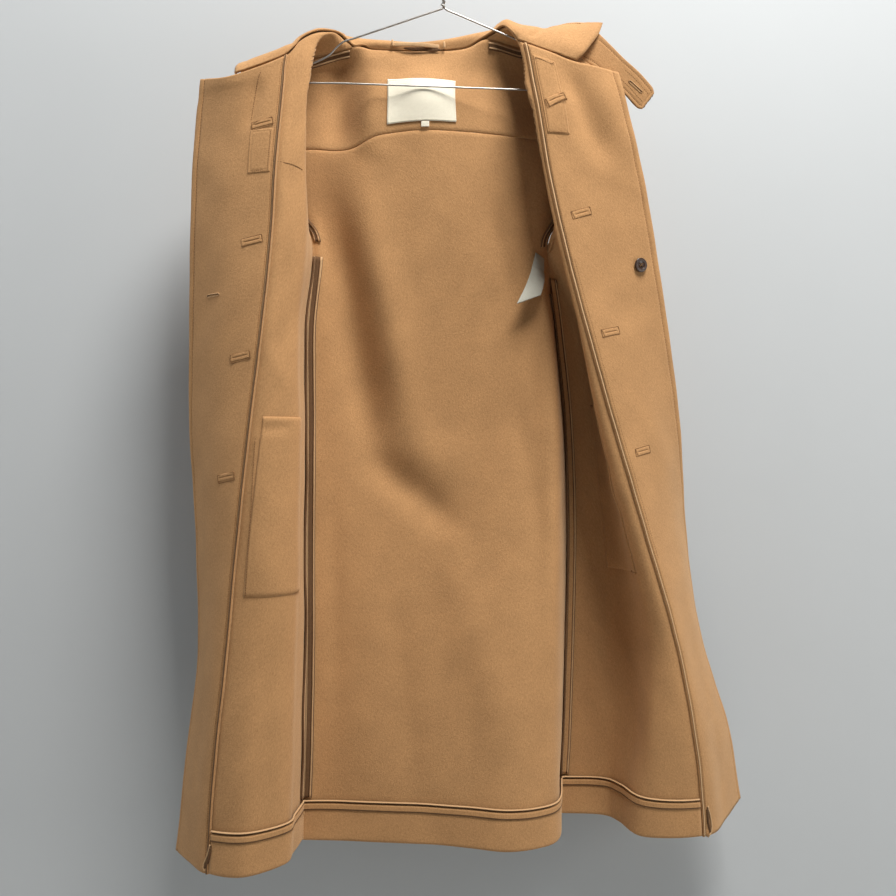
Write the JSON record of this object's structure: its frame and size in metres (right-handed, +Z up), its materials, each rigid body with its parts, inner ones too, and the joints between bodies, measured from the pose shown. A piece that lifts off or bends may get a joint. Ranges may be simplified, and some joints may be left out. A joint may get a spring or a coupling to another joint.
{
  "type": "wool overcoat on a wire hanger",
  "caption": "Long camel wool overcoat, hung open on a thin wire hanger with its fronts turned back, showing bound seams, facings, yoke, turned-up hem and throat latch.",
  "frame": {"origin": "inner top of the hanger's hook, where a rail holds it", "axes": "+Z up, -Y towards the viewer who looks into the open coat, +X to that viewer's right, which is the wearer's left"},
  "size_m": [0.7593, 0.2091, 1.1384],
  "materials": {
    "wool": "napped camel wool",
    "binding": "folded cotton tape",
    "label_cloth": "plain woven tape",
    "button": "polished",
    "hanger_wire": "bright drawn wire"
  },
  "bodies": {
    "root": {"front_right": "wool", "front_left": "wool", "back_yoke": "wool", "back_panel": "wool", "facing_right": "wool", "facing_left": "wool", "hem_turn_up": "wool", "sleeve_right": "wool", "sleeve_left": "wool", "collar": "wool", "throat_latch": "wool", "hanging_loop": "wool", "buttonhole_right_1": "wool", "buttonhole_right_2": "wool", "buttonhole_right_3": "wool", "buttonhole_right_4": "wool", "buttonhole_left_1": "wool", "buttonhole_left_2": "wool", "buttonhole_left_3": "wool", "buttonhole_left_4": "wool", "neck_patch_right": "wool", "neck_patch_left": "wool", "pocket_bag_right": "wool", "pocket_bag_left": "wool", "facing_binding_right": "binding", "facing_binding_left": "binding", "side_allowance_right_front": "binding", "side_allowance_right_back": "binding", "side_allowance_left_back": "binding", "side_allowance_left_front": "binding", "shoulder_binding_right": "binding", "shoulder_binding_left": "binding", "armhole_binding_right": "binding", "armhole_binding_left": "binding", "hem_tape": "binding", "neck_label": "label_cloth", "size_tab": "label_cloth", "care_label": "label_cloth", "inner_button": "button", "hanger_wire": "hanger_wire"}
  },
  "joints": []
}
